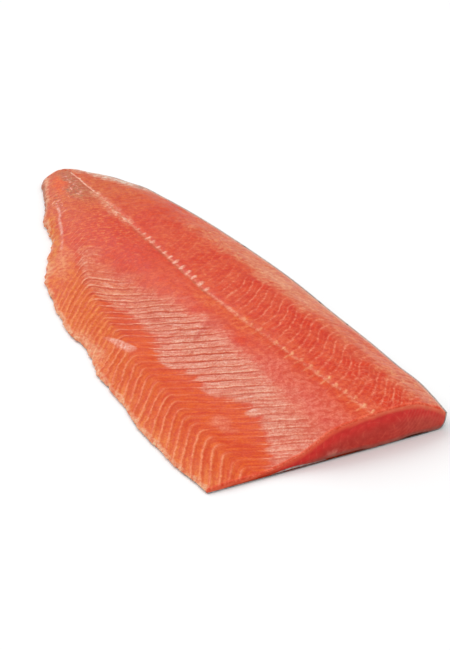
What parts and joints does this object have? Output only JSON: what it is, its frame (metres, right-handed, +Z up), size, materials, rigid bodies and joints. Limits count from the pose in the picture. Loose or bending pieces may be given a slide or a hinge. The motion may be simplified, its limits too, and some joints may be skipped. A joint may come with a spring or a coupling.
{
  "type": "salmon fillet",
  "caption": "Side of raw salmon with its skin underneath: thick flaked loin, thin belly flap, rounded tail end and a flat cut at the head end.",
  "frame": {"origin": "middle of the bounding box on the plane of the underside, where the skin lies on the board", "axes": "+X from the tail's tip to the cut at the head end, +Y from the belly to the back, +Z up, out of the flesh"},
  "size_m": [0.5678, 0.2062, 0.0285],
  "materials": {
    "flesh": "moist",
    "skin": "silver-grey, wet"
  },
  "bodies": {
    "root": {"flesh": "flesh", "skin": "skin"}
  },
  "joints": []
}
